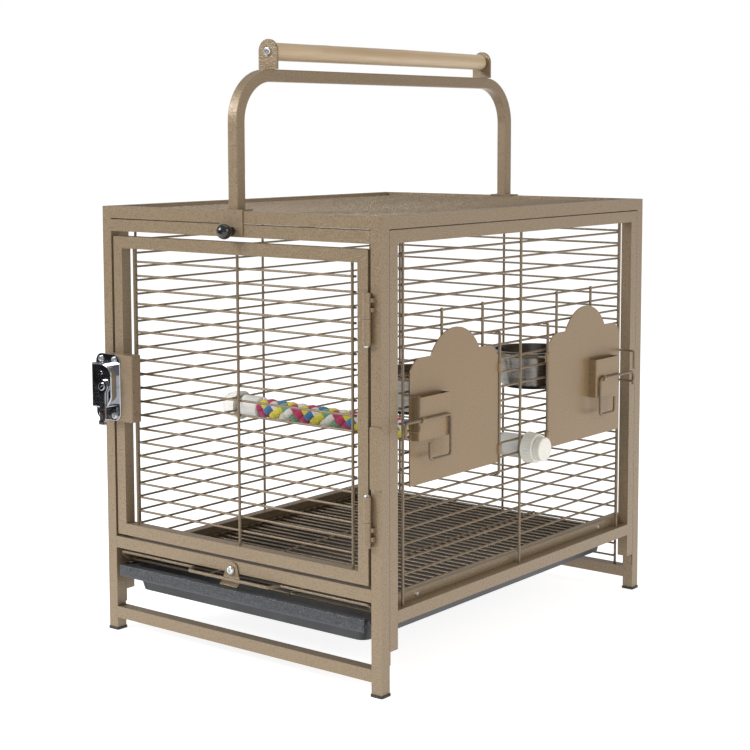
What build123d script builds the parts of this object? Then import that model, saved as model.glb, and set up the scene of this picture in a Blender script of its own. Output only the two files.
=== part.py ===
"""Bird travel cage: a square-tube and welded-wire carrier with a carrying handle.

Millimetres, +Z up, origin on the floor under the middle of the cage.
The front (door) faces -Y and the two feeder doors are in the +X side.
"""
from build123d import *

import os
from math import sqrt

os.makedirs("parts", exist_ok=True)

# ---- driving dimensions -------------------------------------------------
width = 381.0               # outside of the posts, X
depth = 501.0               # outside of the posts, Y
body_height = 467.0         # floor to the top of the top frame
tube = 12.7                 # half-inch square tube
wall = 1.2                  # tube wall
weld_gap = 0.1              # root gap where one tube butts on another
wire_pitch = 15.1           # spacing of the horizontal wires
upright_radius = 1.5        # vertical wires of every mesh
row_radius = 1.2            # horizontal wires of every mesh
weld_bite = 0.3             # how far crossing wires melt into each other

# ---- heights and lines that follow from them ------------------------------
half_width = width / 2
half_depth = depth / 2
post_x = half_width - tube / 2
post_y = half_depth - tube / 2
post_inner_x = half_width - tube
post_inner_y = half_depth - tube
cap_height = 2.4
frame_seat = body_height - tube            # underside of the top frame
rail_top = frame_seat - 1.1                # shadow line under the top frame
rail_bottom = rail_top - tube
skirt_z = 14.0                             # bottom rails, front and back
mid_rail_z = 93.0                          # rail under the door
side_rail_z = 69.0                         # bottom rail of the side panels
panel_post_y = post_inner_y - 0.4 - tube / 2
panel_foot_z = 43.3
row_inset = upright_radius + row_radius - weld_bite
first_row = 429.2


def save(piece, name):
    """Label a finished piece and write it."""
    piece.part.label = name
    export_step(piece.part, f"parts/{name}.step")


def between(start, end):
    """Plane at start whose normal points at end."""
    return Plane(origin=start, z_dir=Vector(*end) - Vector(*start))


def facing(axis, distance, height=0):
    """Plane square to an outward direction: local x runs across, local y is up."""
    across = {"front": (1, 0, 0), "back": (-1, 0, 0), "right": (0, 1, 0), "left": (0, -1, 0)}
    outward = {"front": (0, -1, 0), "back": (0, 1, 0), "right": (1, 0, 0), "left": (-1, 0, 0)}
    normal = Vector(*outward[axis])
    return Plane(origin=normal * distance + Vector(0, 0, height), x_dir=across[axis], z_dir=normal)


def rows_down(top, count):
    """Heights of evenly pitched horizontal wires, from the top one down."""
    return [top - wire_pitch * number for number in range(count)]


# ---- tube frames ----------------------------------------------------------
def add_tube(start, end):
    """Add one hollow square tube between two points to the part being built."""
    with BuildSketch(between(start, end), mode=Mode.PRIVATE) as section:
        Rectangle(tube, tube)
        Rectangle(tube - 2 * wall, tube - 2 * wall, mode=Mode.SUBTRACT)
    extrude(section.sketch, amount=(Vector(*end) - Vector(*start)).length)


def end_frame(name, y, rail_heights):
    """Two posts and the rails between them, at the front or the back."""
    with BuildPart() as frame:
        for side in (-1, 1):
            add_tube((side * post_x, y, cap_height), (side * post_x, y, frame_seat))
        for low in rail_heights:
            reach = post_inner_x - weld_gap
            add_tube((-reach, y, low + tube / 2), (reach, y, low + tube / 2))
    save(frame, name)


def side_frame(name, x):
    """One side panel's frame: two uprights and the rails between them."""
    with BuildPart() as frame:
        for side in (-1, 1):
            add_tube((x, side * panel_post_y, panel_foot_z), (x, side * panel_post_y, rail_top))
        for low in (rail_bottom, side_rail_z):
            reach = panel_post_y - tube / 2 - weld_gap
            add_tube((x, -reach, low + tube / 2), (x, reach, low + tube / 2))
    save(frame, name)


def mitred_frame(name, plane, outer_width, outer_height):
    """Rectangle of hollow tube with mitred corners; the plane is its outer face."""
    with BuildPart() as frame:
        with BuildSketch(plane):
            Rectangle(outer_width, outer_height)
            Rectangle(outer_width - 2 * tube, outer_height - 2 * tube, mode=Mode.SUBTRACT)
        extrude(amount=-tube)
        with BuildSketch(plane.offset(-wall)):
            Rectangle(outer_width - 2 * wall, outer_height - 2 * wall)
            Rectangle(
                outer_width - 2 * (tube - wall), outer_height - 2 * (tube - wall), mode=Mode.SUBTRACT
            )
        extrude(amount=-(tube - 2 * wall), mode=Mode.SUBTRACT)
        corner_x = (outer_width - tube) / 2
        corner_y = (outer_height - tube) / 2
        with BuildSketch(plane):
            for x, y in ((-1, -1), (-1, 1), (1, -1), (1, 1)):
                with Locations(Location((x * corner_x, y * corner_y), 45 * x * y)):
                    Rectangle(2 * tube, weld_gap)
        extrude(amount=-tube, mode=Mode.SUBTRACT)
    save(frame, name)


# ---- wire meshes ------------------------------------------------------------
def add_mesh(plane, rows, half_length, uprights, bottom, top):
    """Uprights on the plane, with rows of cross wires welded on their inner side."""
    foot = plane.from_local_coords((0, bottom, 0))
    with BuildSketch(Plane(foot, x_dir=plane.x_dir, z_dir=plane.y_dir), mode=Mode.PRIVATE) as posts:
        with Locations(*[(u, 0) for u in uprights]):
            Circle(upright_radius)
    extrude(posts.sketch, amount=top - bottom)
    end = plane.from_local_coords((-half_length, 0, 0))
    with BuildSketch(Plane(end, x_dir=plane.y_dir, z_dir=plane.x_dir), mode=Mode.PRIVATE) as wires:
        with Locations(*[(v, -row_inset) for v in rows]):
            Circle(row_radius)
    extrude(wires.sketch, amount=2 * half_length)


side_rows = rows_down(first_row, 23)
side_upright = 208.6
row_overhang = 2.6
door_upright = 150.0
back_upright = 163.0

# Feeder openings in the right panel: five rows are cut out between short uprights.
feeder_y = 108.0
feeder_half = 36.0
feeder_top = side_rows[6]
feeder_bottom = side_rows[12]


def left_wires():
    with BuildPart() as mesh:
        add_mesh(facing("left", post_x), side_rows, side_upright + row_overhang,
                 (-side_upright, 0, side_upright), side_rail_z + tube, rail_bottom)
    save(mesh, "left_panel_wires")


def right_wires():
    plane = facing("right", post_x)
    with BuildPart() as mesh:
        add_mesh(plane, side_rows, side_upright + row_overhang,
                 (-side_upright, 0, side_upright), side_rail_z + tube, rail_bottom)
        opening_height = feeder_top - feeder_bottom - wire_pitch
        with BuildSketch(plane.offset(tube / 2)):
            with Locations(*[(s * feeder_y, (feeder_top + feeder_bottom) / 2) for s in (-1, 1)]):
                Rectangle(2 * feeder_half, opening_height)
        extrude(amount=-tube, mode=Mode.SUBTRACT)
        short_foot = plane.from_local_coords((0, side_rows[14] - row_overhang, 0))
        with BuildSketch(Plane(short_foot, x_dir=plane.x_dir, z_dir=plane.y_dir)):
            with Locations(*[(s * feeder_y + e * feeder_half, 0) for s in (-1, 1) for e in (-1, 1)]):
                Circle(upright_radius)
        extrude(amount=side_rows[4] - side_rows[14] + 2 * row_overhang)
    save(mesh, "right_panel_wires")


def back_wires():
    with BuildPart() as mesh:
        add_mesh(facing("back", post_y), rows_down(first_row, 27), back_upright + row_overhang,
                 (-back_upright, 0, back_upright), skirt_z + tube, rail_bottom)
    save(mesh, "back_wires")


def top_wires():
    rows = [wire_pitch * number for number in range(-15, 16)]
    with BuildPart() as mesh:
        underside = Plane(origin=(0, 0, body_height - tube / 2), x_dir=(1, 0, 0), z_dir=(0, 0, -1))
        add_mesh(underside, rows, back_upright + row_overhang,
                 (-back_upright, 0, back_upright), -post_inner_y, post_inner_y)
    save(mesh, "top_wires")


# ---- small fixed pieces of the body -----------------------------------------
def foot_caps():
    """Moulded caps that close and pad the four legs."""
    flange = 1.2
    with BuildPart() as caps:
        with BuildSketch():
            with GridLocations(2 * post_x, 2 * post_y, 2, 2):
                RectangleRounded(tube + 2 * flange, tube + 2 * flange, 2)
        extrude(amount=cap_height)
        with BuildSketch(Plane.XY.offset(cap_height)):
            with GridLocations(2 * post_x, 2 * post_y, 2, 2):
                Rectangle(tube - 2 * wall - 0.4, tube - 2 * wall - 0.4)
        extrude(amount=9)
    save(caps, "foot_caps")


def panel_rests():
    """Strips on the posts that the side panels' uprights stand on."""
    rest_height = 14.0
    thickness = 3.0
    with BuildPart() as rests:
        for side in (-1, 1):
            with Locations(*[(x, side * (post_inner_y - thickness / 2), panel_foot_z - rest_height / 2)
                             for x in (-post_x, post_x)]):
                Box(10, thickness, rest_height)
    save(rests, "panel_rests")


guide_y = post_inner_y - 0.4
guide_web_x = post_inner_x - 0.1
guide_sheet = 1.2
flange_z = 91.0
grate_ledge_z = 75.6
tray_ledge_z = 70.2


def guide(name, side):
    """Folded channel on a side panel: top flange, grate ledge and tray ledge."""
    ledges = ((166.5, flange_z), (168.0, grate_ledge_z), (167.0, tray_ledge_z))
    with BuildPart() as channel:
        for inner_x, top in ledges:
            with Locations((side * (inner_x + guide_web_x) / 2, 0, top - guide_sheet / 2)):
                Box(guide_web_x - inner_x, 2 * guide_y, guide_sheet)
        web_height = flange_z - tray_ledge_z + guide_sheet
        with Locations((side * (guide_web_x - guide_sheet / 2), 0, flange_z - web_height / 2)):
            Box(guide_sheet, 2 * guide_y, web_height)
    save(channel, name)


def guide_screws():
    """Dome-head screws that hold the guides, above the side rail."""
    with BuildPart() as screws:
        for side in (-1, 1):
            for y in (-177.0, 177.0):
                head = Plane(origin=(side * guide_web_x, y, 86.0), z_dir=(side, 0, 0))
                with BuildSketch(head):
                    Circle(2.6)
                extrude(amount=1.4, taper=30)
    save(screws, "guide_screws")


# ---- hinges of the front door --------------------------------------------------
hinge_x = 176.3
knuckle_radius = 4.0
hinge_y = -(half_depth + knuckle_radius + 0.35)
pin_radius = 2.0
knuckle_length = 24.8
upper_hinge_z = 369.5
lower_hinge_z = 173.0
knuckle_gap = 0.4


def add_knuckle(low, weld_x, weld_reach):
    """One barrel of a weld-on hinge with two weld beads back to its member."""
    with BuildSketch(Plane.XY.offset(low), mode=Mode.PRIVATE) as ring:
        with Locations((hinge_x, hinge_y)):
            Circle(knuckle_radius)
            Circle(pin_radius + 0.05, mode=Mode.SUBTRACT)
    extrude(ring.sketch, amount=knuckle_length)
    for height in (low + 0.35 * knuckle_length, low + 0.72 * knuckle_length):
        with BuildSketch(Plane.XY.offset(height - 2), mode=Mode.PRIVATE) as bead:
            with Locations((weld_x, (hinge_y - half_depth) / 2)):
                Rectangle(weld_reach, -half_depth - hinge_y)
            with Locations((hinge_x, hinge_y)):
                Circle(pin_radius + 0.5, mode=Mode.SUBTRACT)
        extrude(bead.sketch, amount=4)


def post_knuckles():
    with BuildPart() as knuckles:
        for low in (upper_hinge_z + knuckle_gap / 2, lower_hinge_z - knuckle_gap / 2 - knuckle_length):
            add_knuckle(low, hinge_x + 4.2, 5.0)
    save(knuckles, "hinge_post_knuckles")


def door_knuckles():
    with BuildPart() as knuckles:
        for low in (upper_hinge_z - knuckle_gap / 2 - knuckle_length, lower_hinge_z + knuckle_gap / 2):
            add_knuckle(low, hinge_x - 4.2, 3.6)
    save(knuckles, "hinge_door_knuckles")


def hinge_pins():
    """Pins with a domed head at the door knuckle's end."""
    with BuildPart() as pins:
        for middle, way in ((upper_hinge_z, 1), (lower_hinge_z, -1)):
            far = middle - way * (knuckle_length + 0.6)
            with BuildSketch(Plane(origin=(hinge_x, hinge_y, far), z_dir=(0, 0, way))):
                Circle(pin_radius)
            extrude(amount=2 * knuckle_length)
            with BuildSketch(Plane(origin=(hinge_x, hinge_y, far), z_dir=(0, 0, -way))):
                Circle(knuckle_radius - 0.4)
            extrude(amount=1.6, taper=35)
    save(pins, "hinge_pins")


def post_plate():
    """Thin reinforcing plate welded on the front of the hinge-side post."""
    with BuildPart() as plate:
        with BuildSketch(facing("front", half_depth)):
            with Locations((post_x - 0.4, 235.0)):
                RectangleRounded(tube + 0.8, 62.0, 2.5)
        extrude(amount=1.3)
    save(plate, "post_plate")


def latch_strike():
    """Bent strip on the latch-side post that the latch closes against."""
    with BuildPart() as strike:
        with Locations((-post_x, -half_depth - 0.8, 273)):
            Box(tube - 1, 1.6, 46)
        with Locations((-half_width + 2.2, -half_depth - 4.4, 273)):
            Box(1.6, 5.6, 46)
    save(strike, "latch_strike")


# ---- front door ------------------------------------------------------------------
door_half_width = 174.3
door_bottom = 109.0
door_top = 435.0
door_middle = (door_bottom + door_top) / 2


def door_wires():
    rows = [door_middle + wire_pitch * number for number in range(-9, 10)]
    with BuildPart() as mesh:
        add_mesh(facing("front", half_depth - tube / 2 - 0.5), rows, door_upright + row_overhang,
                 (-door_upright, 0, door_upright), door_bottom + tube, door_top - tube)
    save(mesh, "door_wires")


latch_z = 273.0
bracket_face_y = -263.2
bracket_sheet = 1.5
lever_x = -167.0
lever_z = 275.5
housing_face_y = -275.0


def latch_bracket():
    """Folded box that stands the latch off the door's free stile."""
    left, right, height = -174.0, -136.0, 72.0
    with BuildPart() as bracket:
        with BuildSketch(facing("front", half_depth)):
            with Locations(((left + right) / 2, latch_z)):
                Rectangle(right - left, height)
        extrude(amount=-bracket_face_y - half_depth)
        with BuildSketch(facing("front", half_depth)):
            with Locations(((left + right) / 2, latch_z)):
                Rectangle(right - left - 2 * bracket_sheet, height - 2 * bracket_sheet)
        extrude(amount=-bracket_face_y - half_depth - bracket_sheet, mode=Mode.SUBTRACT)
        with BuildSketch(facing("front", -bracket_face_y - bracket_sheet)):
            with Locations(((left - 189) / 2 + 1, latch_z)):
                Rectangle(left + 189 + 2, height - 8)
        extrude(amount=bracket_sheet)
        corners = bracket.edges().filter_by(Axis.Z).sort_by(Axis.X)
        fillet(corners.filter_by(lambda edge: edge.center().X > right - 0.1
                                 and edge.center().Y < bracket_face_y + 0.1), 1.4)
    save(bracket, "latch_bracket")


plate_thickness = 1.4
plate_centre_x = -171.5


def latch_plate():
    """Chromed base plate with rounded ends and a pressed rim."""
    with BuildPart() as plate:
        with BuildSketch(facing("front", -bracket_face_y)):
            with Locations((plate_centre_x, latch_z)):
                RectangleRounded(37, 72, 9)
        extrude(amount=plate_thickness)
        chamfer(plate.faces().sort_by(Axis.Y)[0].edges(), 0.5)
    save(plate, "latch_plate")


def latch_housing():
    """D-shaped housing: straight on the post side, round towards the door."""
    left, right = -186.0, -156.0
    height = 48.0
    base = -bracket_face_y + plate_thickness
    with BuildPart() as housing:
        with BuildSketch(facing("front", base)):
            with Locations(((left + right) / 2, lever_z)):
                outline = Rectangle(right - left, height)
            fillet(outline.vertices().group_by(Axis.X)[-1], 14)
        extrude(amount=-housing_face_y - base)
        fillet(housing.faces().sort_by(Axis.Y)[0].edges(), 1.5)
        with BuildSketch(facing("front", -housing_face_y)):
            with Locations((lever_x - 4, lever_z + 14)):
                Circle(1.8)
        extrude(amount=0.8)
    save(housing, "latch_housing")


def latch_screws():
    base = -bracket_face_y + plate_thickness
    with BuildPart() as screws:
        with BuildSketch(facing("front", base)):
            with Locations(*[(plate_centre_x + x, latch_z + z) for x, z in
                             ((-10, 30.3), (10, 30.3), (-10, -30.3), (10, -30.3))]):
                Circle(3.2)
        extrude(amount=2.0)
        fillet(screws.edges().filter_by(GeomType.CIRCLE).group_by(Axis.Y)[0], 1.2)
        with BuildSketch(facing("front", base + 2.0)):
            with Locations(*[(plate_centre_x + x, latch_z + z) for x, z in
                             ((-10, 30.3), (10, 30.3), (-10, -30.3), (10, -30.3))]):
                Rectangle(3.2, 0.7)
                Rectangle(0.7, 3.2)
        extrude(amount=-0.9, mode=Mode.SUBTRACT)
    save(screws, "latch_screws")


boss_radius = 4.4
boss_height = 4.0


def latch_boss():
    """Slotted boss that the lever turns on."""
    with BuildPart() as boss:
        with BuildSketch(facing("front", -housing_face_y)):
            with Locations((lever_x, lever_z)):
                Circle(boss_radius)
        extrude(amount=boss_height)
        fillet(boss.edges().filter_by(GeomType.CIRCLE).group_by(Axis.Y)[0], 0.8)
        with BuildSketch(facing("front", -housing_face_y + boss_height)):
            with Locations(Location((lever_x, lever_z), 30)):
                Rectangle(5.5, 1.0)
        extrude(amount=-1.2, mode=Mode.SUBTRACT)
    save(boss, "latch_boss")


def latch_lever():
    """Lever that hangs from the boss, with a ring around it and a turned-up tip."""
    face = -housing_face_y + 0.5
    length = 42.0
    with BuildPart() as lever:
        with BuildSketch(facing("front", face)):
            with Locations((lever_x, lever_z)):
                Circle(boss_radius + 3.0)
            with Locations((lever_x, lever_z - length / 2)):
                Rectangle(8.0, length)
            with Locations((lever_x, lever_z)):
                Circle(boss_radius + 0.06, mode=Mode.SUBTRACT)
        extrude(amount=2.2)
        with BuildSketch(facing("front", face)):
            with Locations((lever_x, lever_z - length + 2.5)):
                Rectangle(8.0, 5.0)
        extrude(amount=3.6)
        tip = lever.edges().filter_by(Axis.X).filter_by(lambda edge: edge.center().Z < lever_z - length + 0.1)
        fillet(tip, 1.0)
    save(lever, "latch_lever")


# ---- feeder doors --------------------------------------------------------------
feeder_rod_y = 47.0
feeder_rod_x = 188.9
feeder_rod_radius = 1.6
feeder_plate_x = 187.6                    # inner face of the sheet
feeder_sheet = 1.3
feeder_outer_x = feeder_plate_x + feeder_sheet
feeder_width = 154.0
feeder_door_bottom = 200.4
feeder_shoulder = 326.0
feeder_peak = 351.0
knuckle_wall = 1.3
knuckle_heights = (209.0, 296.0)
strap_y = {-1: (-201.0, -149.5), 1: (135.0, 184.5)}          # front and back ends on each side
strap_z = (246.0, 289.0)
strap_outer_x = 198.8
strap_sheet = 1.2
bail_radius = 1.6
bail_x = strap_outer_x + 0.4 + bail_radius
bail_z = 267.3
bail_foot_z = 226.0
bail_y = {-1: (-226.0, -151.0, -186.0), 1: (214.5, 140.4, 172.0)}   # hook, loop leg and loop end
lug_y = {-1: -201.0, 1: 146.0}            # front end of the lug that the bail turns in
lug_length = 4.5


def feeder_rods():
    """Hinge rods for the feeder doors, turned in at the ends and welded to the mesh."""
    with BuildPart() as rods:
        for side in (-1, 1):
            low, high = side_rows[16], side_rows[6]
            inner_x = post_x - row_inset + row_radius
            y = side * feeder_rod_y
            with BuildLine() as route:
                FilletPolyline((inner_x, y, low), (feeder_rod_x, y, low),
                               (feeder_rod_x, y, high), (inner_x, y, high), radius=3)
            with BuildSketch(Plane(origin=(inner_x, y, low), z_dir=(1, 0, 0))):
                Circle(feeder_rod_radius)
            sweep(path=route.wires()[0])
    save(rods, "feeder_hinge_rods")


def feeder_keepers():
    """Staples that the feeder latches close into, split where the latch rod crosses."""
    y = side_upright
    reach = bail_x + 4.1
    root = post_x + upright_radius
    pieces = ((292.0, bail_z + 4.2), (257.0, bail_z - 4.2))
    with BuildPart() as keepers:
        for side in (-1, 1):
            for root_z, tip_z in pieces:
                with BuildLine() as route:
                    FilletPolyline((root, side * y, root_z), (reach, side * y, root_z),
                                   (reach, side * y, tip_z), radius=2.5)
                with BuildSketch(Plane(origin=(root, side * y, root_z), z_dir=(1, 0, 0))):
                    Circle(1.3)
                sweep(path=route.wires()[0])
    save(keepers, "feeder_keepers")


def feeder_door(name, side):
    """Sheet door with round shoulders and a domed crest, and rolled knuckles."""
    plane = facing("right", feeder_plate_x)
    first = side * (feeder_rod_y + 2.4)
    last = first + side * feeder_width
    middle = (first + last) / 2
    dome_half = 42.0
    rise = feeder_peak - feeder_shoulder
    dome_radius = (dome_half ** 2 + rise ** 2) / (2 * rise)
    with BuildPart() as door:
        with BuildSketch(plane):
            height = feeder_shoulder - feeder_door_bottom
            with Locations((middle, feeder_door_bottom + height / 2)):
                body = Rectangle(feeder_width, height)
            fillet(body.vertices().group_by(Axis.Y)[-1], 19)
            with Locations((middle, feeder_peak - dome_radius)):
                Circle(dome_radius)
        extrude(amount=feeder_sheet)
        for low in knuckle_heights:
            with BuildSketch(Plane.XY.offset(low)):
                with Locations((feeder_rod_x, side * feeder_rod_y)):
                    Circle(feeder_rod_radius + knuckle_wall)
                with Locations((feeder_plate_x + feeder_sheet / 2, side * (feeder_rod_y + 1.9))):
                    Rectangle(feeder_sheet, 1.6)
                with Locations((feeder_rod_x, side * feeder_rod_y)):
                    Circle(feeder_rod_radius + 0.06, mode=Mode.SUBTRACT)
            extrude(amount=10)
    save(door, name)


def feeder_strap(name, side):
    """Bent strap on a feeder door, with the lug that the bail turns in."""
    front, back = strap_y[side]
    height = strap_z[1] - strap_z[0]
    depth_out = strap_outer_x - feeder_outer_x
    with BuildPart() as strap:
        with BuildSketch(Plane.XY.offset(strap_z[0])):
            with Locations((feeder_outer_x + depth_out / 2, (front + back) / 2)):
                outline = Rectangle(depth_out, back - front)
            fillet(outline.vertices().group_by(Axis.X)[-1], 2)
            with Locations((feeder_outer_x + (depth_out - strap_sheet) / 2 - 0.5, (front + back) / 2)):
                Rectangle(depth_out - strap_sheet + 1, back - front - 2 * strap_sheet, mode=Mode.SUBTRACT)
        extrude(amount=height)
        with BuildSketch(Plane(origin=(bail_x, lug_y[side], bail_z), z_dir=(0, 1, 0))):
            Circle(bail_radius + knuckle_wall)
            Circle(bail_radius + 0.07, mode=Mode.SUBTRACT)
        extrude(amount=lug_length)
    save(strap, name)


def feeder_bail(name, side):
    """Latch rod with a hook at one end and a hanging finger loop at the other."""
    hook, leg, back = bail_y[side]
    with BuildPart() as bail:
        with BuildLine() as route:
            FilletPolyline((bail_x, hook, bail_z - 15), (bail_x, hook, bail_z), (bail_x, leg, bail_z),
                           (bail_x, leg, bail_foot_z), (bail_x, back, bail_foot_z), (bail_x, back, 243.0),
                           radius=4)
        with BuildSketch(Plane(origin=(bail_x, hook, bail_z - 15), z_dir=(0, 0, 1))):
            Circle(bail_radius)
        sweep(path=route.wires()[0])
    save(bail, name)


# ---- cups ------------------------------------------------------------------------
cup_x = 131.0
cup_top = 300.0
cup_floor = 258.0
cup_radius = 44.0
cup_base_radius = 38.0
cup_sheet = 1.0
ring_wire = 2.0
ring_radius = cup_radius + 0.3 + ring_wire
ring_z = cup_top - 1.2 - ring_wire - 0.3


def cup(name, side):
    """Pressed steel bowl with a rolled rim."""
    with BuildPart() as bowl:
        with BuildSketch(Plane(origin=(cup_x, side * feeder_y, 0), x_dir=(1, 0, 0), z_dir=(0, -1, 0))):
            with BuildLine():
                Polyline((0, cup_floor), (cup_base_radius - 4, cup_floor),
                         (cup_base_radius, cup_floor + 4), (cup_radius, cup_top - 1.2),
                         (cup_radius + 3.4, cup_top - 1.2), (cup_radius + 3.4, cup_top),
                         (cup_radius - cup_sheet, cup_top),
                         (cup_base_radius - cup_sheet, cup_floor + 4.4),
                         (cup_base_radius - 4.4, cup_floor + cup_sheet), (0, cup_floor + cup_sheet),
                         close=True)
            make_face()
        revolve(axis=Axis((cup_x, side * feeder_y, 0), (0, 0, 1)))
    save(bowl, name)


def cup_rings():
    """Wire rings behind the feeder openings, with two arms each to the short uprights."""
    with BuildPart() as rings:
        for side in (-1, 1):
            with Locations((cup_x, side * feeder_y, ring_z)):
                Torus(ring_radius, ring_wire)
            start = cup_x + sqrt(ring_radius ** 2 - feeder_half ** 2)
            end = post_x - upright_radius
            for arm in (-1, 1):
                y = side * feeder_y + arm * feeder_half
                with BuildSketch(Plane(origin=(start, y, ring_z), z_dir=(1, 0, 0))):
                    Circle(1.5)
                extrude(amount=end - start)
    save(rings, "cup_rings")


# ---- rope perch --------------------------------------------------------------------
perch_left = Vector(-post_x + row_inset + row_radius, -36.0, side_rows[14] + 3.9)
perch_right = Vector(post_x - row_inset - row_radius, 14.0, side_rows[15] + 3.9)
sleeve_radius = 13.0
sleeve_length = 27.0
rope_radius = 11.0
perch_bolt_radius = 2.5
mesh_outer_x = post_x + upright_radius


def perch_rope():
    """Rope wound on a bendable core, running from sleeve to sleeve."""
    inner = post_x - row_inset - row_radius - sleeve_length
    start = Vector(-inner, perch_left.Y, perch_left.Z)
    end = Vector(inner, perch_right.Y, perch_right.Z)
    with BuildPart() as rope:
        with BuildSketch(Plane(origin=start, z_dir=(1, 0, 0))) as first:
            Circle(rope_radius)
        with BuildSketch(Plane(origin=end, z_dir=(1, 0, 0))) as second:
            Circle(rope_radius)
        loft()
    save(rope, "perch_rope")


def perch_sleeves():
    """Moulded sleeves that grip the rope ends and seat on the inside of the mesh."""
    with BuildPart() as sleeves:
        for seat, way in ((perch_left, 1), (perch_right, -1)):
            with BuildSketch(Plane(origin=seat, z_dir=(way, 0, 0))):
                Circle(sleeve_radius)
            extrude(amount=sleeve_length)
            with BuildSketch(Plane(origin=seat, z_dir=(way, 0, 0))):
                Circle(perch_bolt_radius)
            extrude(amount=14, mode=Mode.SUBTRACT)
        fillet(sleeves.edges().filter_by(GeomType.CIRCLE).filter_by(
            lambda edge: edge.radius > rope_radius and abs(edge.center().X) < post_x - 20), 2)
    save(sleeves, "perch_sleeves")


perch_bolt_end = mesh_outer_x + 19.0


def perch_bolts():
    """Threaded studs from the sleeves out between the wires."""
    with BuildPart() as bolts:
        for seat, way in ((perch_left, -1), (perch_right, 1)):
            start = Vector(seat.X - way * 14, seat.Y, seat.Z)
            with BuildSketch(Plane(origin=start, z_dir=(way, 0, 0))):
                Circle(perch_bolt_radius)
            extrude(amount=perch_bolt_end - abs(start.X))
    save(bolts, "perch_bolts")


def perch_nut(name, seat, way):
    """Fluted hand nut with a smaller end cap."""
    base = Plane(origin=(way * (mesh_outer_x + 0.3), seat.Y, seat.Z), z_dir=(way, 0, 0))
    with BuildPart() as nut:
        with BuildSketch(base):
            Circle(17.0)
        extrude(amount=12.5, taper=6)
        with BuildSketch(base.offset(12.5)):
            Circle(11.0)
        extrude(amount=2.0)
        with BuildSketch(base.offset(14.5)):
            Circle(13.0)
        extrude(amount=7.5)
        fillet(nut.faces().sort_by(Axis.X)[-1 if way > 0 else 0].edges(), 2.0)
        with BuildSketch(base.offset(1.6)):
            with PolarLocations(17.4, 28):
                Circle(1.1)
        extrude(amount=10.9, taper=-6, mode=Mode.SUBTRACT)
        with BuildSketch(base):
            Circle(perch_bolt_radius + 0.06)
        extrude(amount=perch_bolt_end - mesh_outer_x + 0.2, mode=Mode.SUBTRACT)
    save(nut, name)


# ---- carrying handle -----------------------------------------------------------------
handle_top = 610.0
handle_leg_y = 249.5 - tube / 2
handle_bend = 54.0 - tube / 2
foot_sheet = 1.4
grip_radius = 9.3
grip_z = 628.5
ear_y = 193.5
ear_thickness = 2.5
ear_radius = 12.5
knob_z = 446.6


def handle_tube():
    """Square tube bent into the carrying arch."""
    foot = body_height + foot_sheet
    crown = handle_top - tube / 2
    with BuildPart() as arch:
        with BuildLine() as route:
            FilletPolyline((0, -handle_leg_y, foot), (0, -handle_leg_y, crown),
                           (0, handle_leg_y, crown), (0, handle_leg_y, foot), radius=handle_bend)
        with BuildSketch(Plane.XY.offset(foot)):
            with Locations((0, -handle_leg_y)):
                RectangleRounded(tube, tube, 1.2)
                Rectangle(tube - 2 * wall, tube - 2 * wall, mode=Mode.SUBTRACT)
        sweep(path=route.wires()[0])
    save(arch, "handle_tube")


def handle_ears():
    """Upright ears on the arch that hold the grip between them."""
    with BuildPart() as ears:
        for side in (-1, 1):
            with BuildSketch(Plane.XZ.offset(-side * ear_y - ear_thickness / 2)):
                with Locations((0, (handle_top + grip_z) / 2)):
                    Rectangle(2 * ear_radius, grip_z - handle_top)
                with Locations((0, grip_z)):
                    Circle(ear_radius)
                    Circle(2.5, mode=Mode.SUBTRACT)
            extrude(amount=ear_thickness)
    save(ears, "handle_ears")


def handle_grip():
    """Turned wooden grip."""
    reach = ear_y - ear_thickness / 2
    with BuildPart() as grip:
        with BuildSketch(Plane.XZ.offset(-reach)):
            with Locations((0, grip_z)):
                Circle(grip_radius)
        extrude(amount=2 * reach)
        fillet(grip.edges().filter_by(GeomType.CIRCLE), 1.2)
    save(grip, "handle_grip")


def grip_screws():
    """Screws through the ears into the ends of the grip."""
    outer = ear_y + ear_thickness / 2
    with BuildPart() as screws:
        for side in (-1, 1):
            with BuildSketch(Plane(origin=(0, side * outer, grip_z), z_dir=(0, side, 0))):
                Circle(4.6)
            extrude(amount=2.4)
            with BuildSketch(Plane(origin=(0, side * outer, grip_z), z_dir=(0, -side, 0))):
                Circle(2.5)
            extrude(amount=ear_thickness)
        fillet(screws.edges().filter_by(GeomType.CIRCLE).filter_by(
            lambda edge: abs(edge.center().Y) > outer + 2), 1.5)
        for side in (-1, 1):
            with BuildSketch(Plane(origin=(0, side * (outer + 2.4), grip_z), z_dir=(0, -side, 0))):
                Rectangle(4.4, 0.9)
                Rectangle(0.9, 4.4)
            extrude(amount=1.2, mode=Mode.SUBTRACT)
    save(screws, "grip_screws")


foot_front_y = half_depth + foot_sheet
foot_back_y = half_depth - 14.5
foot_half_width = 15.2


def handle_feet():
    """Angle feet: a pad on the top frame and a plate down over the top rail."""
    plate_low = 441.2
    with BuildPart() as feet:
        for side in (-1, 1):
            with Locations((0, side * (foot_front_y + foot_back_y) / 2, body_height + foot_sheet / 2)):
                Box(2 * foot_half_width, foot_front_y - foot_back_y, foot_sheet)
            height = body_height - plate_low
            with Locations((0, side * (half_depth + foot_sheet / 2), plate_low + height / 2)):
                Box(2 * foot_half_width, foot_sheet, height)
        lower = feet.edges().filter_by(Axis.Y).filter_by(lambda edge: edge.center().Z < plate_low + 1)
        fillet(lower, 3)
        for side in (-1, 1):
            with BuildSketch(Plane(origin=(0, side * half_depth, knob_z), z_dir=(0, side, 0))):
                Circle(3.1)
            extrude(amount=foot_sheet, mode=Mode.SUBTRACT)
    save(feet, "handle_feet")


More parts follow.
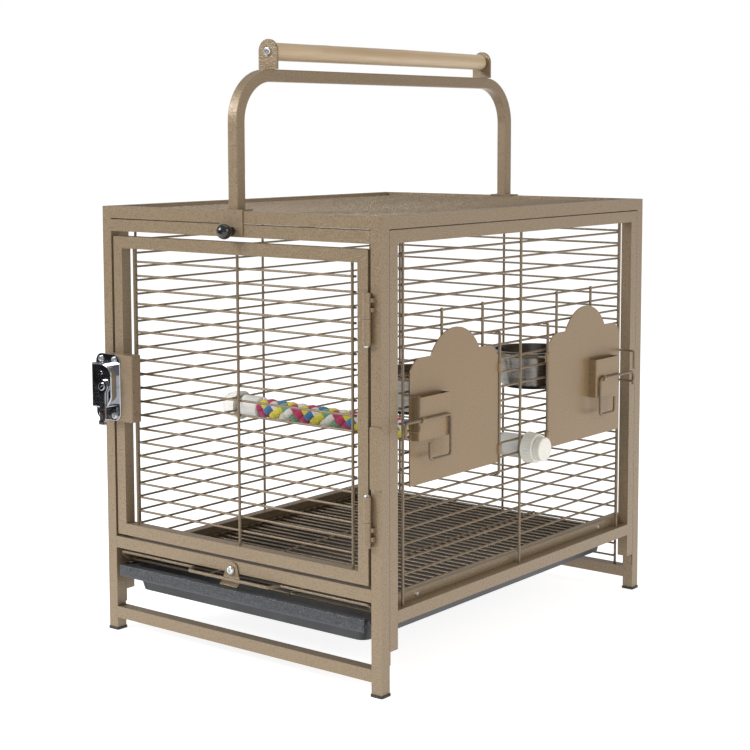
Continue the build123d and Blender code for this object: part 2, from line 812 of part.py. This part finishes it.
def knob(name, side):
    """Ball knob on a short stud through the handle's foot."""
    ball_radius = 8.0
    collar = foot_front_y + 0.4
    with BuildPart() as ball:
        with BuildSketch(Plane(origin=(0, side * (half_depth + 0.3), knob_z), z_dir=(0, side, 0))):
            Circle(3.04)
        extrude(amount=collar - half_depth)
        with BuildSketch(Plane(origin=(0, side * collar, knob_z), z_dir=(0, side, 0))):
            Circle(5.2)
        extrude(amount=4.0)
        with Locations((0, side * (collar + 2.2 + ball_radius), knob_z)):
            Sphere(ball_radius)
    save(ball, name)


# ---- tray, grate and the tab that keeps them in -----------------------------------------
tray_flange_z = tray_ledge_z + 0.3
tray_sheet = 2.5
tray_bottom = 47.0
tray_front = -253.0
tray_back = 234.0
tray_half = 175.4


def tray():
    """Moulded dropping tray: sloped pan, side flanges and a deep front lip."""
    top = tray_flange_z + tray_sheet
    pan_y = (-241.0 + 226.0) / 2
    pan_length = 226.0 + 241.0
    pan_width = 2 * 163.0
    lip_low = 62.0
    lip_high = 75.4
    draft = 12.0
    corner = 11.0
    with BuildPart() as pan:
        with BuildSketch(Plane.XY.offset(tray_bottom)):
            with Locations((0, pan_y)):
                RectangleRounded(pan_width - draft, pan_length - draft, corner)
        with BuildSketch(Plane.XY.offset(top)):
            with Locations((0, pan_y)):
                RectangleRounded(pan_width, pan_length, corner + 2)
        loft()
        with BuildSketch(Plane.XY.offset(tray_flange_z)):
            with Locations((0, (tray_front + 4 + tray_back) / 2)):
                RectangleRounded(2 * tray_half, tray_back - tray_front - 4, 4)
        extrude(amount=tray_sheet)
        with Locations((0, tray_front + 2.5, (lip_low + lip_high) / 2)):
            Box(2 * (tray_half - 5), 5.0, lip_high - lip_low)
        fillet(pan.edges().filter_by(Axis.X).group_by(Axis.Y)[0], 1.8)
        with BuildSketch(Plane.XY.offset(tray_bottom + tray_sheet)):
            with Locations((0, pan_y)):
                RectangleRounded(pan_width - draft - 2 * tray_sheet, pan_length - draft - 2 * tray_sheet,
                                 corner - tray_sheet)
        with BuildSketch(Plane.XY.offset(top + 0.5)):
            with Locations((0, pan_y)):
                RectangleRounded(pan_width - 2 * tray_sheet, pan_length - 2 * tray_sheet,
                                 corner + 2 - tray_sheet)
        loft(mode=Mode.SUBTRACT)
    save(pan, "tray")


grate_rod_radius = 1.3
grate_rail_radius = 1.7
grate_z = grate_ledge_z + 0.3 + grate_rail_radius
grate_pitch = tube
grate_half = 172.8
grate_front = -233.0
pull_z = 88.5
pull_y = -246.5
pull_jog_y = -259.8
stringer_x = 58.0


def grate():
    """Floor grate: close rods on two side rails and two stringers, with a raised pull wire."""
    rod_count = 37
    rod_y = [grate_front + grate_pitch * number for number in range(rod_count)]
    back_y = rod_y[-1] + 3
    with BuildPart() as floor:
        with BuildSketch(Plane.YZ.offset(-grate_half)):
            with Locations(*[(y, grate_z) for y in rod_y]):
                Circle(grate_rod_radius)
        extrude(amount=2 * grate_half)
        with BuildLine() as route:
            FilletPolyline((-grate_half, back_y, grate_z), (-grate_half, grate_front - 4, grate_z),
                           (-grate_half, pull_y, pull_z), (-64, pull_y, pull_z),
                           (-stringer_x, pull_jog_y, pull_z), (52, pull_jog_y, pull_z),
                           (stringer_x, pull_y, pull_z), (grate_half, pull_y, pull_z),
                           (grate_half, grate_front - 4, grate_z), (grate_half, back_y, grate_z),
                           radius=3)
        with BuildSketch(Plane(origin=(-grate_half, back_y, grate_z), z_dir=(0, -1, 0))):
            Circle(grate_rail_radius)
        sweep(path=route.wires()[0])
        for x in (-stringer_x, stringer_x):
            with BuildSketch(Plane(origin=(x, back_y, grate_z), z_dir=(0, -1, 0))):
                Circle(grate_rail_radius)
            extrude(amount=back_y - grate_front + 2)
    save(floor, "grate")


tab_x = -5.0
tab_pivot_z = 96.0
tab_sheet = 1.2
tab_half_width = 12.0
tab_face = half_depth + 0.35


def retaining_tab():
    """Turn-button plate with a lip bent forward at its foot."""
    plate_low = 84.5
    lip_reach = 5.4
    lip_drop = 4.6
    with BuildPart() as tab:
        with BuildSketch(facing("front", tab_face)):
            with BuildLine():
                Polyline((tab_x - tab_half_width, plate_low), (tab_x - 8.6, tab_pivot_z), (tab_x + 8.6, tab_pivot_z),
                         (tab_x + tab_half_width, plate_low), close=True)
            make_face()
            with Locations((tab_x, tab_pivot_z)):
                Circle(8.8)
        extrude(amount=tab_sheet)
        with BuildSketch(Plane.YZ.offset(tab_x - tab_half_width)):
            with BuildLine():
                Polyline((-tab_face, plate_low), (-tab_face - tab_sheet, plate_low + 0.5),
                         (-tab_face - tab_sheet - lip_reach, plate_low - lip_drop + 0.5),
                         (-tab_face - lip_reach, plate_low - lip_drop), close=True)
            make_face()
        extrude(amount=2 * tab_half_width)
        with BuildSketch(facing("front", tab_face)):
            with Locations((tab_x, tab_pivot_z)):
                Circle(2.06)
        extrude(amount=tab_sheet + 1, mode=Mode.SUBTRACT)
    save(tab, "retaining_tab")


def tab_screw():
    """Pan-head screw that the tab turns on."""
    with BuildPart() as screw:
        with BuildSketch(facing("front", half_depth)):
            with Locations((tab_x, tab_pivot_z)):
                Circle(2.0)
        extrude(amount=2.0)
        with BuildSketch(facing("front", tab_face + tab_sheet + 0.35)):
            with Locations((tab_x, tab_pivot_z)):
                Circle(4.8)
        extrude(amount=2.6)
        fillet(screw.edges().filter_by(GeomType.CIRCLE).group_by(Axis.Y)[0], 1.7)
        with BuildSketch(facing("front", tab_face + tab_sheet + 0.35 + 2.6)):
            with Locations((tab_x, tab_pivot_z)):
                Rectangle(4.2, 1.0)
                Rectangle(1.0, 4.2)
        extrude(amount=-1.3, mode=Mode.SUBTRACT)
    save(screw, "tab_screw")


# ---- build every piece ------------------------------------------------------------
end_frame("front_frame", -post_y, (rail_bottom, mid_rail_z, skirt_z))
end_frame("back_frame", post_y, (rail_bottom, skirt_z))
side_frame("left_panel_frame", -post_x)
side_frame("right_panel_frame", post_x)
mitred_frame("top_frame", Plane.XY.offset(body_height), width, depth)
left_wires()
right_wires()
back_wires()
top_wires()
foot_caps()
panel_rests()
guide("left_guide", -1)
guide("right_guide", 1)
guide_screws()
post_knuckles()
hinge_pins()
post_plate()
latch_strike()

mitred_frame("door_frame", facing("front", half_depth, door_middle),
             2 * door_half_width, door_top - door_bottom)
door_wires()
door_knuckles()
latch_bracket()
latch_plate()
latch_housing()
latch_screws()
latch_boss()
latch_lever()

feeder_rods()
feeder_keepers()
for place, side in (("near", -1), ("far", 1)):
    feeder_door(f"feeder_door_{place}", side)
    feeder_strap(f"feeder_strap_{place}", side)
    feeder_bail(f"feeder_bail_{place}", side)
    cup(f"cup_{place}", side)
cup_rings()

perch_rope()
perch_sleeves()
perch_bolts()
perch_nut("perch_nut_left", perch_left, -1)
perch_nut("perch_nut_right", perch_right, 1)

handle_tube()
handle_ears()
handle_grip()
grip_screws()
handle_feet()
knob("knob_front", -1)
knob("knob_rear", 1)

tray()
grate()
retaining_tab()
tab_screw()
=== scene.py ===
"""Looks for the bird travel cage: materials, the rope, the wooden grip, weld beads, light and camera."""
import random
from math import cos, pi, sin, sqrt

import bmesh
import bpy
from mathutils import Matrix, Vector


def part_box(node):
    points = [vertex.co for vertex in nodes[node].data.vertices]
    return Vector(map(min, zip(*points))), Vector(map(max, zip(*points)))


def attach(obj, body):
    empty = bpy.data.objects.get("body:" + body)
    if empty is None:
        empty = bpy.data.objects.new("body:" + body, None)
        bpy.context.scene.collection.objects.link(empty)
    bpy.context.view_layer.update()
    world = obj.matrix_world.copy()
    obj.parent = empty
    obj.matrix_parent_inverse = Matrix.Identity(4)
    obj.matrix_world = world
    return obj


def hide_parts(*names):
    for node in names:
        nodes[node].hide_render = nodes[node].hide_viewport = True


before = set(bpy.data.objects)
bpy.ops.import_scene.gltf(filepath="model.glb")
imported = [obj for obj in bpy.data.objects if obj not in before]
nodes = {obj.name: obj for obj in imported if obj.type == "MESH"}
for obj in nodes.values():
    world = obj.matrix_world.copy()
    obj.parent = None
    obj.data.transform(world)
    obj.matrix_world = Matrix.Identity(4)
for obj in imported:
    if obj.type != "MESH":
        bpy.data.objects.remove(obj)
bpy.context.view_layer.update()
scene = bpy.context.scene
MM = 0.001


# ---- node helpers -------------------------------------------------------------------
class Shader:
    """A Principled material whose texture space is the object's own, in metres."""

    def __init__(self, name, **sockets):
        self.material = bpy.data.materials.new(name)
        self.material.use_nodes = True
        self.tree = self.material.node_tree
        self.bsdf = self.tree.nodes["Principled BSDF"]
        self.coords = self.add("ShaderNodeTexCoord").outputs["Object"]
        for key, value in sockets.items():
            self.bsdf.inputs[key.replace("_", " ")].default_value = value

    def add(self, kind, **settings):
        node = self.tree.nodes.new(kind)
        for key, value in settings.items():
            setattr(node, key, value)
        return node

    def link(self, source, target):
        self.tree.links.new(source, target)

    def noise(self, scale, detail=2.0, rough=0.5, vector=None, distortion=0.0):
        node = self.add("ShaderNodeTexNoise")
        node.inputs["Scale"].default_value = scale
        node.inputs["Detail"].default_value = detail
        node.inputs["Roughness"].default_value = rough
        node.inputs["Distortion"].default_value = distortion
        self.link(vector or self.coords, node.inputs["Vector"])
        return node.outputs["Fac"]

    def cells(self, scale, feature="F1", output="Distance", vector=None):
        node = self.add("ShaderNodeTexVoronoi", feature=feature)
        node.inputs["Scale"].default_value = scale
        self.link(vector or self.coords, node.inputs["Vector"])
        return node.outputs[output]

    def stretch(self, scale, rotation=(0, 0, 0)):
        node = self.add("ShaderNodeMapping")
        node.inputs["Scale"].default_value = scale
        node.inputs["Rotation"].default_value = rotation
        self.link(self.coords, node.inputs["Vector"])
        return node.outputs["Vector"]

    def ramp(self, factor, *stops, mode="LINEAR"):
        node = self.add("ShaderNodeValToRGB")
        node.color_ramp.interpolation = mode
        elements = node.color_ramp.elements
        while len(elements) < len(stops):
            elements.new(0.5)
        for element, (place, colour) in zip(elements, stops):
            element.position = place
            element.color = (*colour, 1.0) if len(colour) == 3 else colour
        self.link(factor, node.inputs["Fac"])
        return node.outputs["Color"]

    def spread(self, factor, low, high, from_low=0.0, from_high=1.0):
        node = self.add("ShaderNodeMapRange")
        limits = {"From Min": from_low, "From Max": from_high, "To Min": low, "To Max": high}
        for key, value in limits.items():
            node.inputs[key].default_value = value
        self.link(factor, node.inputs["Value"])
        return node.outputs["Result"]

    def mix(self, factor, first, second, blend="MIX"):
        node = self.add("ShaderNodeMix", data_type="RGBA", blend_type=blend)
        for value, socket in ((factor, node.inputs[0]), (first, node.inputs[6]), (second, node.inputs[7])):
            if isinstance(value, bpy.types.NodeSocket):
                self.link(value, socket)
            elif isinstance(value, tuple):
                socket.default_value = (*value, 1.0)
            else:
                socket.default_value = value
        return node.outputs[2]

    def math(self, operation, first, second):
        node = self.add("ShaderNodeMath", operation=operation)
        for value, socket in ((first, node.inputs[0]), (second, node.inputs[1])):
            if isinstance(value, bpy.types.NodeSocket):
                self.link(value, socket)
            else:
                socket.default_value = value
        return node.outputs[0]

    def height(self):
        node = self.add("ShaderNodeSeparateXYZ")
        self.link(self.coords, node.inputs[0])
        return node.outputs["Z"]

    def bump(self, factor, strength, distance_mm, normal=None):
        node = self.add("ShaderNodeBump")
        node.inputs["Strength"].default_value = strength
        node.inputs["Distance"].default_value = distance_mm * MM
        self.link(factor, node.inputs["Height"])
        if normal:
            self.link(normal, node.inputs["Normal"])
        return node.outputs["Normal"]

    def done(self, colour=None, roughness=None, normal=None):
        for value, key in ((colour, "Base Color"), (roughness, "Roughness"), (normal, "Normal")):
            if value is not None:
                self.link(value, self.bsdf.inputs[key])
        return self.material


# ---- materials --------------------------------------------------------------------
def powder_coat(name, base, grain, flecks, hammer):
    """Hammer-tone powder coat: fine pebbled paint with metallic flecks."""
    dark, light = tuple(c * 0.86 for c in base), tuple(c * 1.12 for c in base)
    m = Shader(name, Metallic=0.25, Specular_IOR_Level=0.55, Coat_Weight=0.15, Coat_Roughness=0.22)
    pebble = m.noise(grain, 3.0, 0.6)
    fleck = m.cells(grain * 1.25, output="Color")
    patch = m.noise(14.0, 2.0)
    colour = m.ramp(pebble, (0.34, dark), (0.50, base), (0.66, light))
    tone = m.ramp(fleck, (0.0, (0.92, 0.92, 0.92)), (0.40, (0.97, 0.97, 0.97)), (0.80, (1.03, 1.03, 1.03)),
                  (1.0, (1.45, 1.43, 1.40)))
    colour = m.mix(flecks, colour, tone, "MULTIPLY")
    colour = m.mix(m.spread(patch, 0.0, 0.22), colour, tuple(c * 0.82 for c in base))
    rough = m.spread(pebble, 0.24, 0.40, 0.3, 0.7)
    hollow = m.cells(grain, "SMOOTH_F1")
    normal = m.bump(hollow, hammer, 0.6, m.bump(pebble, hammer * 0.6, 0.4))
    return m.done(colour, rough, normal)


def chrome():
    m = Shader("polished_chrome", Metallic=1.0)
    smear = m.noise(90, 3.0, 0.6)
    colour = m.ramp(smear, (0.3, (0.42, 0.43, 0.46)), (0.7, (0.54, 0.55, 0.58)))
    return m.done(colour, m.spread(smear, 0.05, 0.13, 0.3, 0.7), m.bump(m.noise(90, 2.0), 0.06, 0.2))


def spun_steel(name, low, high, pitch):
    m = Shader(name, Metallic=1.0)
    lines = m.noise(1.0, 2.0, 0.5, m.stretch((pitch * 0.03, pitch * 0.03, pitch)))
    colour = m.ramp(lines, (0.3, low), (0.7, high))
    return m.done(colour, m.spread(lines, 0.16, 0.26, 0.3, 0.7), m.bump(lines, 0.05, 0.1))


def zinc():
    m = Shader("zinc_plate", Metallic=1.0)
    spangle = m.cells(900, output="Color")
    colour = m.ramp(spangle, (0.0, (0.55, 0.55, 0.56)), (1.0, (0.78, 0.78, 0.78)))
    return m.done(colour, m.spread(m.noise(500), 0.22, 0.40, 0.3, 0.7), m.bump(m.noise(900), 0.2, 0.1))


def moulded(name, base, gloss, grain=1500, strength=0.1, **extra):
    m = Shader(name, **extra)
    cloud = m.noise(60, 2.0)
    colour = m.mix(m.spread(cloud, 0.0, 0.35), base, tuple(min(1.0, c * 1.25 + 0.004) for c in base))
    return m.done(colour, m.spread(m.noise(grain * 0.2), gloss, gloss + 0.12, 0.3, 0.7),
                  m.bump(m.noise(grain, 2.0), strength, 0.1))


def tray_plastic():
    """Charcoal moulding: pebbled and flecked on the rim band, plainer on the pan."""
    m = Shader("tray_charcoal", Specular_IOR_Level=0.45)
    band_low, band_high = 0.0625, 0.0650
    band = m.spread(m.height(), 0.0, 1.0, band_low, band_high)
    fleck = m.cells(620, output="Color")
    pebble = m.noise(520, 3.0, 0.6)
    plain = m.ramp(m.noise(35, 3.0), (0.35, (0.040, 0.043, 0.049)), (0.65, (0.058, 0.061, 0.068)))
    rim = m.ramp(pebble, (0.36, (0.032, 0.035, 0.041)), (0.52, (0.045, 0.048, 0.055)),
                 (0.70, (0.085, 0.090, 0.100)))
    tone = m.ramp(fleck, (0.0, (0.65, 0.65, 0.65)), (0.85, (1.1, 1.1, 1.1)), (1.0, (2.0, 2.0, 2.0)))
    rim = m.mix(0.6, rim, tone, "MULTIPLY")
    colour = m.mix(band, plain, rim)
    depth = m.math("MULTIPLY", m.cells(520, "SMOOTH_F1"), band)
    normal = m.bump(depth, 1.0, 0.8, m.bump(m.noise(1400, 2.0), 0.2, 0.2))
    return m.done(colour, m.spread(pebble, 0.26, 0.42, 0.3, 0.7), normal)


def wood():
    m = Shader("pale_wood", Coat_Weight=0.25, Coat_Roughness=0.25)
    drift = m.noise(1.0, 3.0, 0.6, m.stretch((30, 2.2, 30)))
    grain = m.add("ShaderNodeTexWave", wave_type="BANDS", bands_direction="Z")
    grain.inputs["Scale"].default_value = 20.0
    grain.inputs["Distortion"].default_value = 5.0
    grain.inputs["Detail"].default_value = 3.0
    m.link(m.stretch((1.0, 0.09, 1.0), (0.12, 0.0, 0.35)), grain.inputs["Vector"])
    fibre = m.noise(1.0, 3.0, 0.65, m.stretch((900, 22, 900)))
    colour = m.ramp(grain.outputs["Fac"], (0.0, (0.500, 0.375, 0.238)), (0.55, (0.560, 0.435, 0.290)),
                    (1.0, (0.600, 0.480, 0.330)))
    colour = m.mix(m.spread(drift, 0.0, 0.75, 0.48, 0.66), colour, (0.430, 0.300, 0.170))
    colour = m.mix(m.spread(fibre, 0.0, 0.30, 0.45, 0.75), colour, (0.420, 0.265, 0.130))
    knot = m.cells(1.0, output="Distance", vector=m.stretch((34, 13, 34), (0.2, 0.1, 0.4)))
    colour = m.mix(m.spread(knot, 0.62, 0.0, 0.02, 0.16), colour, (0.250, 0.135, 0.060))
    return m.done(colour, m.spread(fibre, 0.34, 0.50, 0.3, 0.7), m.bump(fibre, 0.15, 0.2))


def rope_strand(name, base):
    """Cotton yarn: fine fibres along the strand and a soft sheen."""
    m = Shader(name, Sheen_Weight=0.35, Sheen_Roughness=0.5)
    fuzz = m.noise(2600, 3.0, 0.7)
    colour = m.ramp(fuzz, (0.30, tuple(c * 0.62 for c in base)), (0.55, base),
                    (0.80, tuple(min(1.0, c * 1.25 + 0.02) for c in base)))
    return m.done(colour, m.spread(fuzz, 0.78, 0.95, 0.3, 0.7), m.bump(fuzz, 0.6, 0.25))


MATERIALS = {
    "coat": powder_coat("taupe_coat", (0.268, 0.197, 0.122), grain=760, flecks=0.35, hammer=0.6),
    "wire": powder_coat("wire_coat", (0.205, 0.150, 0.092), grain=900, flecks=0.2, hammer=0.5),
    "sheet": powder_coat("sheet_coat", (0.262, 0.180, 0.098), grain=900, flecks=0.1, hammer=0.25),
    "grate": powder_coat("grate_coat", (0.200, 0.150, 0.094), grain=900, flecks=0.2, hammer=0.5),
    "chrome": chrome(),
    # cup steel: the spun lines are the metal's own, but both colours are set far darker than bare steel, a
    # painted dark reflection
    "steel": spun_steel("cup_steel_with_painted_dark_reflection", (0.17, 0.163, 0.15), (0.27, 0.26, 0.245), 700), "zinc": zinc(),
    "black": moulded("black_gloss", (0.010, 0.010, 0.011), 0.10, 400, 0.04, Coat_Weight=0.4),
    "pad": moulded("black_cap", (0.018, 0.018, 0.019), 0.42),
    "tray": tray_plastic(), "wood": wood(),
    "white": moulded("white_nut", (0.76, 0.75, 0.70), 0.26, 800, 0.05, Subsurface_Weight=0.12,
                     Subsurface_Scale=0.004),
    "sleeve": moulded("white_sleeve", (0.72, 0.715, 0.68), 0.34, 800, 0.05, Subsurface_Weight=0.12,
                      Subsurface_Scale=0.004),
}
USES = {
    "coat": "front_frame back_frame left_panel_frame right_panel_frame top_frame door_frame "
            "handle_tube handle_ears handle_feet panel_rests post_plate hinge_post_knuckles "
            "hinge_door_knuckles latch_bracket retaining_tab left_guide right_guide",
    "wire": "left_panel_wires right_panel_wires back_wires top_wires door_wires cup_rings "
            "feeder_hinge_rods feeder_keepers feeder_bail_near feeder_bail_far",
    "sheet": "feeder_door_near feeder_door_far feeder_strap_near feeder_strap_far",
    "grate": "grate",
    "chrome": "latch_plate latch_lever latch_boss latch_strike latch_housing",
    "steel": "cup_near cup_far",
    "zinc": "guide_screws hinge_pins latch_screws perch_bolts grip_screws tab_screw",
    "black": "knob_front knob_rear",
    "pad": "foot_caps",
    "tray": "tray",
    "wood": "handle_grip",
    "white": "perch_nut_left perch_nut_right",
    "sleeve": "perch_sleeves perch_rope",
}
for key, names in USES.items():
    for name in names.split():
        mesh = nodes[name].data
        if not mesh.materials:
            mesh.materials.append(MATERIALS[key])
        for slot in nodes[name].material_slots:
            slot.material = MATERIALS[key]


# ---- pieces -----------------------------------------------------------------------
def piece(name, bm, materials, body, smooth=True):
    mesh = bpy.data.meshes.new(name)
    bm.normal_update()
    bm.to_mesh(mesh)
    bm.free()
    for material in materials:
        mesh.materials.append(material)
    if smooth:
        mesh.polygons.foreach_set("use_smooth", [True] * len(mesh.polygons))
    obj = bpy.data.objects.new(name, mesh)
    scene.collection.objects.link(obj)
    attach(obj, body)
    return obj


def skin(bm, rings, material=0, close_ends=True, seam=True):
    """Faces over a list of vertex rings."""
    for first, second in zip(rings, rings[1:]):
        count = len(first)
        for i in range(count if seam else count - 1):
            j = (i + 1) % count
            face = bm.faces.new((first[i], first[j], second[j], second[i]))
            face.material_index = material
    if close_ends:
        for ring, flip in ((rings[0], True), (rings[-1], False)):
            face = bm.faces.new(reversed(ring) if flip else ring)
            face.material_index = material


def rope_perch():
    """Eight plump yarns braided over a round core, four each way round."""
    low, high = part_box("perch_rope")
    radius = 11.0 * MM
    start = Vector((low.x - 0.001, low.y + radius, high.z - radius))
    end = Vector((high.x + 0.001, high.y - radius, low.z + radius))
    axis = (end - start).normalized()
    across = axis.cross(Vector((0, 0, 1))).normalized()
    above = across.cross(axis)
    length = (end - start).length
    bm = bmesh.new()
    core_radius, core_sides = 0.0076, 24
    core = []
    for centre in (start, end):
        turns = [2 * pi * i / core_sides for i in range(core_sides)]
        core.append([bm.verts.new(centre + (across * cos(turn) + above * sin(turn)) * core_radius)
                     for turn in turns])
    skin(bm, core)
    strands = 4
    lead = 0.056
    half_width, half_thick = 0.0048, 0.0024
    mean_reach, weave = 0.0084, 0.0012
    yarn_sides = 10
    colours = {1: (1, 0, 2, 3), -1: (1, 2, 4, 5)}
    for way in (-1, 1):
        for strand in range(strands):
            phase = 2 * pi * strand / strands
            steps = int(length / lead * 48)
            rings = []
            for step in range(steps + 1):
                along = length * step / steps
                turn = way * 2 * pi * along / lead + phase
                lift = way * cos(strands * 2 * pi * along / lead)
                reach = mean_reach + weave * lift
                radial = across * cos(turn) + above * sin(turn)
                sideways = radial.cross(axis)
                heading = (axis * lead + sideways * (way * 2 * pi * reach)).normalized()
                broad = heading.cross(radial).normalized()
                centre = start + axis * along + radial * reach
                ring = []
                for i in range(yarn_sides):
                    angle = 2 * pi * i / yarn_sides
                    ring.append(bm.verts.new(centre + broad * (half_width * cos(angle))
                                             + radial * (half_thick * sin(angle))))
                rings.append(ring)
            skin(bm, rings, colours[way][strand])
    dyes = {"white": (0.80, 0.79, 0.76), "crimson": (0.50, 0.035, 0.12), "yellow": (0.74, 0.66, 0.06),
            "blue": (0.055, 0.19, 0.42), "cream": (0.78, 0.74, 0.66), "green": (0.16, 0.40, 0.20)}
    yarns = [rope_strand("yarn_" + name, dye) for name, dye in dyes.items()]
    obj = piece("braided_rope", bm, yarns, "cage")
    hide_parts("perch_rope")


def branch_grip():
    """Hardwood grip, turned with a slight waver, soft knots and rounded ends."""
    low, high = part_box("handle_grip")
    centre_z = (low.z + high.z) / 2
    radius = (high.z - low.z) / 2
    waver = 0.0003
    rng = random.Random(7)
    waves = [(rng.uniform(14, 34), rng.uniform(0, 6.3), rng.uniform(0.10, 0.22)) for _ in range(4)]
    knots = [(-0.105, 0.9, 0.5), (0.036, 2.2, 0.4), (0.128, 4.0, 0.5)]
    bm = bmesh.new()
    rings = []
    steps = 150
    for step in range(steps + 1):
        t = step / steps
        y = low.y + (high.y - low.y) * t
        end = min(y - low.y, high.y - y)
        round_off = sqrt(max(0.0, 1 - max(0.0, 1 - end / 0.004) ** 2))
        swell = sum(a * sin(f * y + p) for f, p, a in waves) * MM
        ring = []
        for i in range(40):
            angle = 2 * pi * i / 40
            bulge = sum(h * MM * max(0.0, cos(angle - w)) ** 6 * max(0.0, 1 - ((y - at) / 0.012) ** 2)
                        for at, w, h in knots)
            reach = radius * (0.80 + 0.20 * round_off) + swell * 0.55 + bulge
            ring.append(bm.verts.new((reach * cos(angle) + waver * sin(17 * y), y,
                                      centre_z + reach * sin(angle) + waver * sin(11 * y + 1))))
        rings.append(ring)
    skin(bm, rings)
    obj = piece("wooden_grip", bm, [MATERIALS["wood"]], "cage")
    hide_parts("handle_grip")


def weld_dots(name, body, spots, size=0.0019):
    """Small resistance-weld beads where wires cross."""
    bm = bmesh.new()
    rng = random.Random(11)
    for spot, flat in spots:
        bead = size * rng.uniform(0.82, 1.12)
        scale = [bead, bead, bead]
        scale[flat] *= 0.62
        place = Matrix.Translation(spot) @ Matrix.Diagonal((*scale, 1.0))
        bmesh.ops.create_icosphere(bm, subdivisions=2, radius=1.0, matrix=place)
    piece(name, bm, [MATERIALS["wire"]], body)


def crossings(flat, depth, rows, uprights):
    """Where the rows cross the uprights of a mesh that stands at one depth along the flat axis."""
    return [((depth, along, z) if flat == 0 else (along, depth, z), flat)
            for z in rows for along in uprights]


def all_beads():
    """Weld beads of the four upright meshes, on the pitch the wires are built to."""
    pitch, top_row, door_middle = 0.0151, 0.4292, 0.272
    side_x = 0.18415 - 0.0012
    side_uprights, door_uprights, back_uprights = (
        (-reach, 0.0, reach) for reach in (0.2086, 0.150, 0.163))

    def rows(count):
        return [top_row - pitch * k for k in range(count)]

    for way, name in ((1, "right_beads"), (-1, "left_beads")):
        weld_dots(name, "cage", crossings(0, way * side_x, rows(23), side_uprights))
    door_rows = [door_middle + pitch * (k - 9) for k in range(19)]
    low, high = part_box("door_wires")
    middle = (low.y + high.y) / 2
    weld_dots("door_beads", "front_door", crossings(1, middle, door_rows, door_uprights))
    low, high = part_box("back_wires")
    middle = (low.y + high.y) / 2
    weld_dots("back_beads", "cage", crossings(1, middle, rows(27), back_uprights))


rope_perch()
branch_grip()
all_beads()


# ---- floor, light, camera ---------------------------------------------------------
def floor():
    """White floor that glows a little, so that it runs into the white background."""
    m = Shader("floor_white", Specular_IOR_Level=0.2, Emission_Strength=0.84,
               Emission_Color=(1.0, 1.0, 1.0, 1.0))
    colour = m.ramp(m.noise(3.0, 2.0), (0.3, (0.55, 0.55, 0.55)), (0.7, (0.57, 0.57, 0.57)))
    material = m.done(colour, m.spread(m.noise(40), 0.55, 0.65))
    bm = bmesh.new()
    bmesh.ops.create_grid(bm, x_segments=2, y_segments=2, size=14)
    mesh = bpy.data.meshes.new("floor")
    bm.to_mesh(mesh)
    bm.free()
    mesh.materials.append(material)
    obj = bpy.data.objects.new("floor", mesh)
    scene.collection.objects.link(obj)


def dark_flag(name, place, size, facing):
    """Studio flag that only mirrors show, so that polished metal has something dark to reflect."""
    m = Shader(name, Specular_IOR_Level=0.0, Roughness=1.0)
    material = m.done(m.ramp(m.noise(2.0), (0.0, (0.008, 0.008, 0.009)), (1.0, (0.014, 0.014, 0.016))))
    bm = bmesh.new()
    bmesh.ops.create_grid(bm, x_segments=1, y_segments=1, size=0.5)
    mesh = bpy.data.meshes.new(name)
    bm.to_mesh(mesh)
    bm.free()
    mesh.materials.append(material)
    obj = bpy.data.objects.new(name, mesh)
    obj.location = place
    obj.scale = (*size, 1.0)
    obj.rotation_euler = Vector(facing).to_track_quat("Z", "Y").to_euler()
    for ray in ("camera", "diffuse", "transmission", "shadow", "volume_scatter"):
        setattr(obj, "visible_" + ray, False)
    scene.collection.objects.link(obj)


def softbox(name, place, aim, size, power, tint=(1, 1, 1)):
    """Rectangular lamp at a place, turned to its aim."""
    data = bpy.data.lights.new(name, "AREA")
    data.shape = "RECTANGLE"
    data.size, data.size_y = size
    data.energy = power
    data.color = tint
    obj = bpy.data.objects.new(name, data)
    obj.location = place
    obj.rotation_euler = (Vector(aim) - Vector(place)).to_track_quat("-Z", "Y").to_euler()
    scene.collection.objects.link(obj)


def studio():
    """White surroundings that light the object less than the camera sees, and four lamps."""
    world = bpy.data.worlds.new("studio")
    scene.world = world
    world.use_nodes = True
    tree = world.node_tree
    back = tree.nodes["Background"]
    back.inputs["Color"].default_value = (1.0, 1.0, 1.0, 1.0)
    path = tree.nodes.new("ShaderNodeLightPath")
    strength = tree.nodes.new("ShaderNodeMapRange")
    strength.inputs["To Min"].default_value = 0.38
    strength.inputs["To Max"].default_value = 1.0
    tree.links.new(path.outputs["Is Camera Ray"], strength.inputs["Value"])
    tree.links.new(strength.outputs["Result"], back.inputs["Strength"])
    middle = (0, 0, 0.3)
    softbox("key", (-1.6, -2.6, 2.2), middle, (1.4, 1.4), 76)
    softbox("sheen", (-1.7, -2.3, 1.7), (0, -0.25, 0.35), (1.2, 0.7), 12)
    softbox("fill", (2.6, -0.2, 1.3), middle, (1.2, 1.6), 20, (1.0, 0.90, 0.76))
    softbox("top", (0.2, 0.6, 2.8), middle, (2.0, 2.0), 12)
    scene.view_settings.view_transform = "Standard"
    scene.view_settings.look = "None"
    scene.view_settings.exposure = 0.0


def camera():
    """Long lens from the front right, a little above the cage."""
    data = bpy.data.cameras.new("camera")
    data.sensor_width = 36.0
    data.lens = 79.82
    data.shift_y = -0.10
    obj = bpy.data.objects.new("camera", data)
    yaw, pitch, roll = 0.6643, 0.1019, -0.0018
    obj.location = (1.14831, -1.48333, 0.54788)
    obj.rotation_euler = (Matrix.Rotation(yaw, 3, "Z") @ Matrix.Rotation(pi / 2 - pitch, 3, "X")
                          @ Matrix.Rotation(roll, 3, "Z")).to_euler()
    scene.collection.objects.link(obj)
    scene.camera = obj


floor()
dark_flag("flag_floor", (-2.6, -3.4, 0.004), (6.0, 4.6), (0, 0, 1))
dark_flag("flag_wall", (-2.6, -5.6, 1.0), (7.0, 2.0), (0, 1, 0))
studio()
camera()
